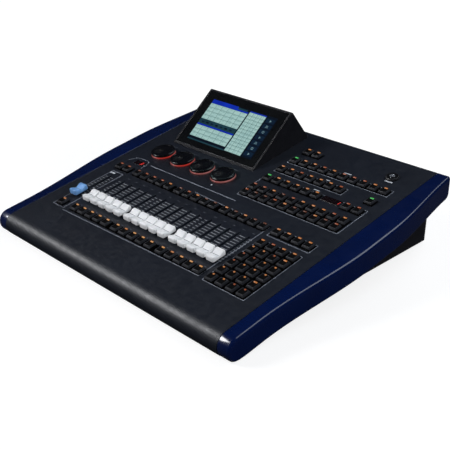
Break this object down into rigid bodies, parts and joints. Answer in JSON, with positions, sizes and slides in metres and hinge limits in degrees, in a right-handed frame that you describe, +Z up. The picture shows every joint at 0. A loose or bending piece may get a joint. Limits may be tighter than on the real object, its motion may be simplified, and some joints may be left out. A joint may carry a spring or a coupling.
{
  "type": "lighting control desk",
  "caption": "Sloped stage lighting desk with bowed side cheeks, a raised touchscreen pod, sliding faders, encoder wheels with lit rings, and groups of lit keys.",
  "frame": {"origin": "on the ground, under the middle of the desk's box", "axes": "+X to the operator's right, +Y to the rear, +Z up"},
  "size_m": [0.5428, 0.463, 0.1594],
  "materials": {
    "deck": "fine textured powder coat, satin",
    "black_steel": "fine textured powder coat, satin",
    "navy": "polished, gloss lacquer",
    "pod": "satin powder coat",
    "glass": "black-backed glass, gloss",
    "board": "solder mask",
    "steel": "brushed",
    "chrome": "polished",
    "key": "moulded, fine grain",
    "cap_white": "moulded, soft sheen",
    "cap_blue": "moulded, soft sheen",
    "wheel": "polished",
    "ring_light": "lit translucent",
    "display": "tinted window, gloss",
    "rubber": "matt",
    "socket": "moulded",
    "panel": "stamped, satin",
    "cable": "flat ribbon",
    "print": "screen print",
    "led_orange": "lit indicator",
    "led_green": "lit indicator",
    "led_red": "lit segments",
    "screen_image": "lit display image"
  },
  "bodies": {
    "desk": {"base_tray": "black_steel", "deck_panel": "deck", "left_cheek": "navy", "right_cheek": "navy", "pod_shell": "pod", "screen_glass": "glass", "lcd_panel": "panel", "lcd_ribbon": "cable", "main_board": "board", "power_supply": "steel", "fader_board": "board", "switch_board": "board", "encoder_board": "board", "light_guide": "ring_light", "playback_display": "display", "page_display": "display", "key_lock_barrel": "socket", "power_inlet": "socket", "dmx_sockets": "socket", "data_ports": "steel", "lamp_socket": "socket", "foot_front_left": "rubber", "foot_front_right": "rubber", "foot_rear_left": "rubber", "foot_rear_right": "rubber"},
    "key_lock": {"key_lock_plug": "chrome"},
    "power_switch": {"power_rocker": "socket"},
    "master_fader": {"master_fader_cap": "cap_blue"},
    "fader_01": {"fader_cap_01": "cap_white"},
    "fader_02": {"fader_cap_02": "cap_white"},
    "fader_03": {"fader_cap_03": "cap_white"},
    "fader_04": {"fader_cap_04": "cap_white"},
    "fader_05": {"fader_cap_05": "cap_white"},
    "fader_06": {"fader_cap_06": "cap_white"},
    "fader_07": {"fader_cap_07": "cap_white"},
    "fader_08": {"fader_cap_08": "cap_white"},
    "fader_09": {"fader_cap_09": "cap_white"},
    "fader_10": {"fader_cap_10": "cap_white"},
    "fader_11": {"fader_cap_11": "cap_white"},
    "fader_12": {"fader_cap_12": "cap_white"},
    "fader_13": {"fader_cap_13": "cap_white"},
    "fader_14": {"fader_cap_14": "cap_white"},
    "fader_15": {"fader_cap_15": "cap_white"},
    "encoder_1": {"encoder_wheel_1": "wheel"},
    "encoder_2": {"encoder_wheel_2": "wheel"},
    "encoder_3": {"encoder_wheel_3": "wheel"},
    "encoder_4": {"encoder_wheel_4": "wheel"},
    "press_flash_keys": {"flash_keys": "key"},
    "press_master_flash_key": {"master_flash_key": "key"},
    "press_select_keys": {"select_keys": "key"},
    "press_page_keys": {"page_keys": "key"},
    "press_keypad_keys": {"keypad_keys": "key"},
    "press_function_keys": {"function_keys": "key"},
    "press_preset_keys": {"preset_keys": "key"},
    "press_group_keys": {"group_keys": "key"},
    "press_step_keys": {"step_keys": "key"},
    "press_palette_keys": {"palette_keys": "key"},
    "press_blackout_key": {"blackout_key": "key"},
    "press_attribute_keys": {"attribute_keys": "key"},
    "press_menu_keys": {"menu_keys": "key"}
  },
  "joints": [
    {"name": "key_lock_turn", "type": "hinge", "parent": "desk", "child": "key_lock", "pos_m": [0.1874, 0.18057, 0.1007], "axis": [0, -0.1668, 0.986], "range_deg": [-90, 0]},
    {"name": "power_rocker_tilt", "type": "hinge", "parent": "desk", "child": "power_switch", "pos_m": [-0.178, 0.2105, 0.051], "axis": [1, 0, 0], "range_deg": [-16, 0]},
    {"name": "master_fader_slide", "type": "slide", "parent": "desk", "child": "master_fader", "axis": [0, 0.986, 0.1668], "range_m": [0, 0.06]},
    {"name": "fader_01_slide", "type": "slide", "parent": "desk", "child": "fader_01", "axis": [0, 0.986, 0.1668], "range_m": [0, 0.06]},
    {"name": "fader_02_slide", "type": "slide", "parent": "desk", "child": "fader_02", "axis": [0, 0.986, 0.1668], "range_m": [0, 0.06]},
    {"name": "fader_03_slide", "type": "slide", "parent": "desk", "child": "fader_03", "axis": [0, 0.986, 0.1668], "range_m": [0, 0.06]},
    {"name": "fader_04_slide", "type": "slide", "parent": "desk", "child": "fader_04", "axis": [0, 0.986, 0.1668], "range_m": [0, 0.06]},
    {"name": "fader_05_slide", "type": "slide", "parent": "desk", "child": "fader_05", "axis": [0, 0.986, 0.1668], "range_m": [0, 0.06]},
    {"name": "fader_06_slide", "type": "slide", "parent": "desk", "child": "fader_06", "axis": [0, 0.986, 0.1668], "range_m": [0, 0.06]},
    {"name": "fader_07_slide", "type": "slide", "parent": "desk", "child": "fader_07", "axis": [0, 0.986, 0.1668], "range_m": [0, 0.06]},
    {"name": "fader_08_slide", "type": "slide", "parent": "desk", "child": "fader_08", "axis": [0, 0.986, 0.1668], "range_m": [0, 0.06]},
    {"name": "fader_09_slide", "type": "slide", "parent": "desk", "child": "fader_09", "axis": [0, 0.986, 0.1668], "range_m": [0, 0.06]},
    {"name": "fader_10_slide", "type": "slide", "parent": "desk", "child": "fader_10", "axis": [0, 0.986, 0.1668], "range_m": [0, 0.06]},
    {"name": "fader_11_slide", "type": "slide", "parent": "desk", "child": "fader_11", "axis": [0, 0.986, 0.1668], "range_m": [0, 0.06]},
    {"name": "fader_12_slide", "type": "slide", "parent": "desk", "child": "fader_12", "axis": [0, 0.986, 0.1668], "range_m": [0, 0.06]},
    {"name": "fader_13_slide", "type": "slide", "parent": "desk", "child": "fader_13", "axis": [0, 0.986, 0.1668], "range_m": [0, 0.06]},
    {"name": "fader_14_slide", "type": "slide", "parent": "desk", "child": "fader_14", "axis": [0, 0.986, 0.1668], "range_m": [0, 0.06]},
    {"name": "fader_15_slide", "type": "slide", "parent": "desk", "child": "fader_15", "axis": [0, 0.986, 0.1668], "range_m": [0, 0.06]},
    {"name": "encoder_1_turn", "type": "hinge", "parent": "desk", "child": "encoder_1", "pos_m": [-0.1755, 0.04302, 0.07744], "axis": [0, -0.1668, 0.986], "continuous": true},
    {"name": "encoder_2_turn", "type": "hinge", "parent": "desk", "child": "encoder_2", "pos_m": [-0.1281, 0.04302, 0.07744], "axis": [0, -0.1668, 0.986], "continuous": true},
    {"name": "encoder_3_turn", "type": "hinge", "parent": "desk", "child": "encoder_3", "pos_m": [-0.0807, 0.04302, 0.07744], "axis": [0, -0.1668, 0.986], "continuous": true},
    {"name": "encoder_4_turn", "type": "hinge", "parent": "desk", "child": "encoder_4", "pos_m": [-0.0333, 0.04302, 0.07744], "axis": [0, -0.1668, 0.986], "continuous": true},
    {"name": "flash_keys_press", "type": "slide", "parent": "desk", "child": "press_flash_keys", "axis": [0, -0.1668, 0.986], "range_m": [-0.002, 0], "stiffness_N_per_m": 400},
    {"name": "master_flash_key_press", "type": "slide", "parent": "desk", "child": "press_master_flash_key", "axis": [0, -0.1668, 0.986], "range_m": [-0.002, 0], "stiffness_N_per_m": 400},
    {"name": "select_keys_press", "type": "slide", "parent": "desk", "child": "press_select_keys", "axis": [0, -0.1668, 0.986], "range_m": [-0.002, 0], "stiffness_N_per_m": 400},
    {"name": "page_keys_press", "type": "slide", "parent": "desk", "child": "press_page_keys", "axis": [0, -0.1668, 0.986], "range_m": [-0.002, 0], "stiffness_N_per_m": 400},
    {"name": "keypad_keys_press", "type": "slide", "parent": "desk", "child": "press_keypad_keys", "axis": [0, -0.1668, 0.986], "range_m": [-0.002, 0], "stiffness_N_per_m": 400},
    {"name": "function_keys_press", "type": "slide", "parent": "desk", "child": "press_function_keys", "axis": [0, -0.1668, 0.986], "range_m": [-0.002, 0], "stiffness_N_per_m": 400},
    {"name": "preset_keys_press", "type": "slide", "parent": "desk", "child": "press_preset_keys", "axis": [0, -0.1668, 0.986], "range_m": [-0.002, 0], "stiffness_N_per_m": 400},
    {"name": "group_keys_press", "type": "slide", "parent": "desk", "child": "press_group_keys", "axis": [0, -0.1668, 0.986], "range_m": [-0.002, 0], "stiffness_N_per_m": 400},
    {"name": "step_keys_press", "type": "slide", "parent": "desk", "child": "press_step_keys", "axis": [0, -0.1668, 0.986], "range_m": [-0.002, 0], "stiffness_N_per_m": 400},
    {"name": "palette_keys_press", "type": "slide", "parent": "desk", "child": "press_palette_keys", "axis": [0, -0.1668, 0.986], "range_m": [-0.002, 0], "stiffness_N_per_m": 400},
    {"name": "blackout_key_press", "type": "slide", "parent": "desk", "child": "press_blackout_key", "axis": [0, -0.1668, 0.986], "range_m": [-0.002, 0], "stiffness_N_per_m": 400},
    {"name": "attribute_keys_press", "type": "slide", "parent": "desk", "child": "press_attribute_keys", "axis": [0, -0.1668, 0.986], "range_m": [-0.002, 0], "stiffness_N_per_m": 400},
    {"name": "menu_keys_press", "type": "slide", "parent": "desk", "child": "press_menu_keys", "axis": [0, -0.1668, 0.986], "range_m": [-0.002, 0], "stiffness_N_per_m": 400}
  ]
}
